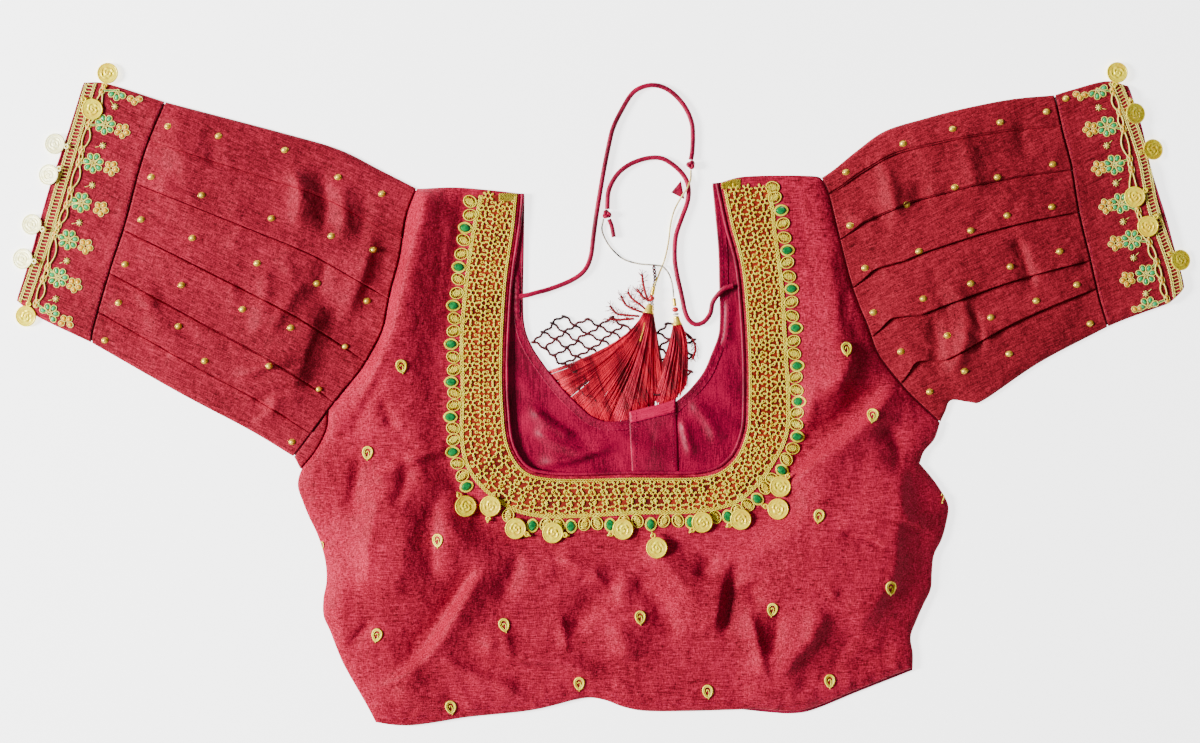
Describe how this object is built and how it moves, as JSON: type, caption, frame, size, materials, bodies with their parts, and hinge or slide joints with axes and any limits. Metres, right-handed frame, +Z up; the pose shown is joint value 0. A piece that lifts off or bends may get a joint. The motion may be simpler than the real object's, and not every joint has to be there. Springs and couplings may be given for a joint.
{
  "type": "choli blouse",
  "caption": "Fitted silk saree blouse laid flat, front up: deep U neck with a gold embroidered band, pleated elbow sleeves, coin-trimmed cuffs, and a tie cord with tassels at the back neck.",
  "frame": {"origin": "the middle of the blouse's box, on the surface that it lies on", "axes": "+X across the blouse to the right of a viewer who looks down at its front, from cuff to cuff; +Y from the hem to the shoulders; +Z up from the surface"},
  "size_m": [0.8414, 0.4738, 0.0176],
  "materials": {
    "silk": "crimson raw silk with slubs, a soft sheen",
    "satin": "deep magenta satin, the lining, piping and facing",
    "cord": "satin covered round cord",
    "zari": "gold metal-thread embroidery, stiff, with green stones",
    "string": "gold metal-thread string",
    "coin_gold": "stamped yellow brass, polished",
    "coin_pale": "stamped pale brass, polished",
    "tassel_metal": "gold tube, red bead and pearl ring",
    "tassel_silk": "loose bright red silk threads",
    "net": "dark knotted net"
  },
  "bodies": {
    "root": {"back_left": "satin", "back_right": "satin", "hem_facing": "satin", "placket": "satin", "front": "silk", "gusset_left": "silk", "sleeve_left": "silk", "sleeve_right": "silk", "cuff_left": "silk", "cuff_right": "silk", "cuff_band_left": "zari", "cuff_band_right": "zari", "neck_piping_front": "satin", "neck_piping_back_left": "satin", "neck_piping_back_right": "satin", "neck_band": "zari", "coin_neck_1": "coin_gold", "coin_neck_2": "coin_gold", "coin_neck_3": "coin_gold", "coin_neck_4": "coin_gold", "coin_neck_5": "coin_gold", "coin_neck_6": "coin_gold", "coin_neck_7": "coin_gold", "coin_neck_8": "coin_gold", "coin_neck_9": "coin_gold", "coin_neck_10": "coin_gold", "coin_cuff_left_1": "coin_gold", "coin_cuff_left_2": "coin_gold", "coin_cuff_left_3": "coin_pale", "coin_cuff_left_4": "coin_pale", "coin_cuff_left_5": "coin_pale", "coin_cuff_left_6": "coin_pale", "coin_cuff_left_7": "coin_gold", "coin_cuff_right_1": "coin_gold", "coin_cuff_right_2": "coin_gold", "coin_cuff_right_3": "coin_gold", "coin_cuff_right_4": "coin_gold", "coin_cuff_right_5": "coin_gold", "coin_cuff_right_6": "coin_gold", "dori_left": "cord", "dori_right": "cord", "dori_tail": "cord", "string_left": "string", "string_right": "string", "knot_left": "cord", "knot_right": "cord", "dori_tab": "satin", "tassel_beads_left": "tassel_metal", "tassel_beads_right": "tassel_metal", "tassel_left": "tassel_silk", "tassel_right": "tassel_silk", "tassel_net": "net"}
  },
  "joints": []
}
